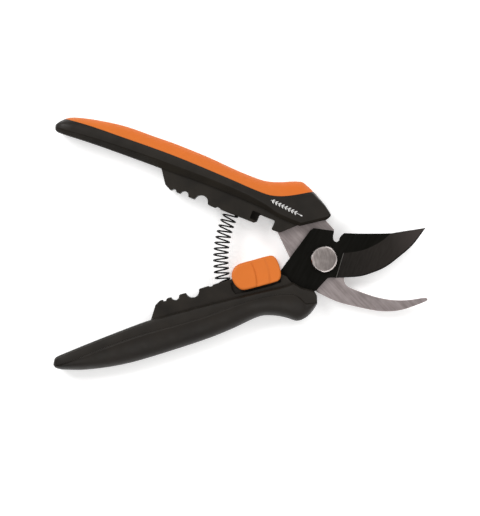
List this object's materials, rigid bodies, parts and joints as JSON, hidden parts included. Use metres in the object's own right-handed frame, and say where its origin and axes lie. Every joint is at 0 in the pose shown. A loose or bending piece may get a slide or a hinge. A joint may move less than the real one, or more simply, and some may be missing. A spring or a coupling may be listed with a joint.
{
  "type": "bypass pruning shears",
  "caption": "Hand-held bypass pruning snips with a curved counter blade, coil return spring, stem stripping notches and a sliding thumb lock.",
  "frame": {"origin": "where the pivot axis meets the plane that the snips lie on, at the centre of the bolt's plain end", "axes": "+X along the middle of the open jaw towards the blade tips, +Y towards the upper handle, +Z out of the resting plane along the pivot axis"},
  "size_m": [0.1896, 0.1262, 0.016],
  "materials": {
    "frame_nylon": "fine grained moulding",
    "cover_plastic": "matte",
    "grip_black": "soft satin",
    "grip_orange": "soft satin",
    "lock_orange": "satin",
    "coated_steel": "dark low-friction coating",
    "hook_steel": "brushed across the blade",
    "pivot_steel": "brushed",
    "spring_steel": "black oxide"
  },
  "bodies": {
    "lower_half": {"lower_frame": "frame_nylon", "lower_cover": "cover_plastic", "lower_grip_pad": "grip_black", "cutting_blade": "coated_steel", "pivot_bolt": "pivot_steel", "pivot_washer": "pivot_steel", "pivot_nut": "pivot_steel", "return_spring": "spring_steel"},
    "upper_half": {"upper_frame": "frame_nylon", "upper_cover": "cover_plastic", "upper_grip_pad": "grip_orange", "hook_blade": "hook_steel"},
    "lock_slider": {"lock_slider": "lock_orange"}
  },
  "joints": [
    {"name": "handle_squeeze", "type": "hinge", "parent": "lower_half", "child": "upper_half", "pos_m": [0, 0, 0], "axis": [0, 0, 1], "range_deg": [0, 38], "stiffness_Nm_per_rad": 1.36, "springref_deg": -12.61, "deforming": ["return_spring"]},
    {"name": "lock_slide", "type": "slide", "parent": "lower_half", "child": "lock_slider", "axis": [-0.9455, -0.3256, 0], "range_m": [0, 0.004]}
  ]
}
